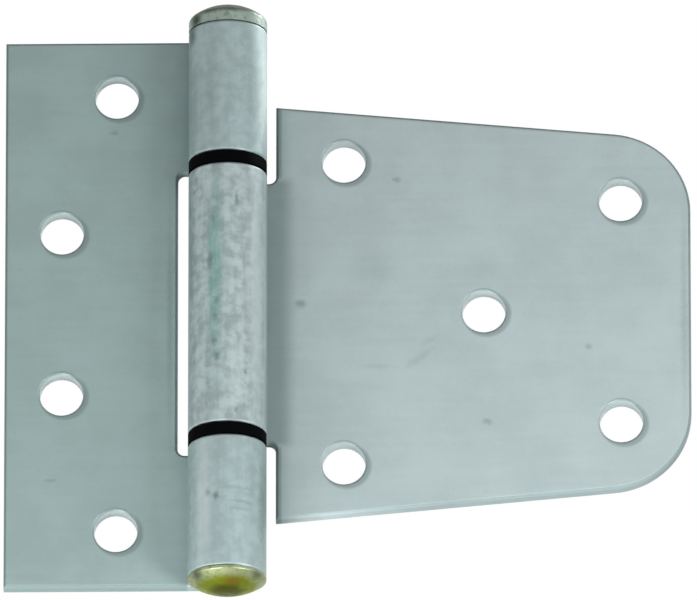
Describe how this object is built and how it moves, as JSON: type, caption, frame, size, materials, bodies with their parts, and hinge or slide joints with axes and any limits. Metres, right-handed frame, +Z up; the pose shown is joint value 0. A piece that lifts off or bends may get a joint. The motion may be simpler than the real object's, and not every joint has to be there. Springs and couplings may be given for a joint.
{
  "type": "gate hinge",
  "caption": "Galvanised gate hinge laid open: a tall butt leaf for the post, a wide tapered leaf for the gate, bolt holes in both, and a headed pin with black washers.",
  "frame": {"origin": "on the hinge pin's axis, at the middle of the post leaf's height", "axes": "+Z up along the pin towards its domed head, +X from the pin along the open gate leaf, +Y towards the post and gate that the leaves bolt to"},
  "size_m": [0.1432, 0.0164, 0.1304],
  "materials": {
    "galvanised_steel": "dull zinc with a faint mottle",
    "yellow_zinc": "yellow passivated zinc",
    "black_nylon": "matt"
  },
  "bodies": {
    "jamb_side": {"jamb_leaf": "galvanised_steel", "pin": "yellow_zinc", "upper_washer": "black_nylon", "lower_washer": "black_nylon"},
    "gate_side": {"gate_leaf": "galvanised_steel"}
  },
  "joints": [
    {"name": "gate_swing", "type": "hinge", "parent": "jamb_side", "child": "gate_side", "pos_m": [0, 0, 0], "axis": [0, 0, 1], "range_deg": [-191, 100]}
  ]
}
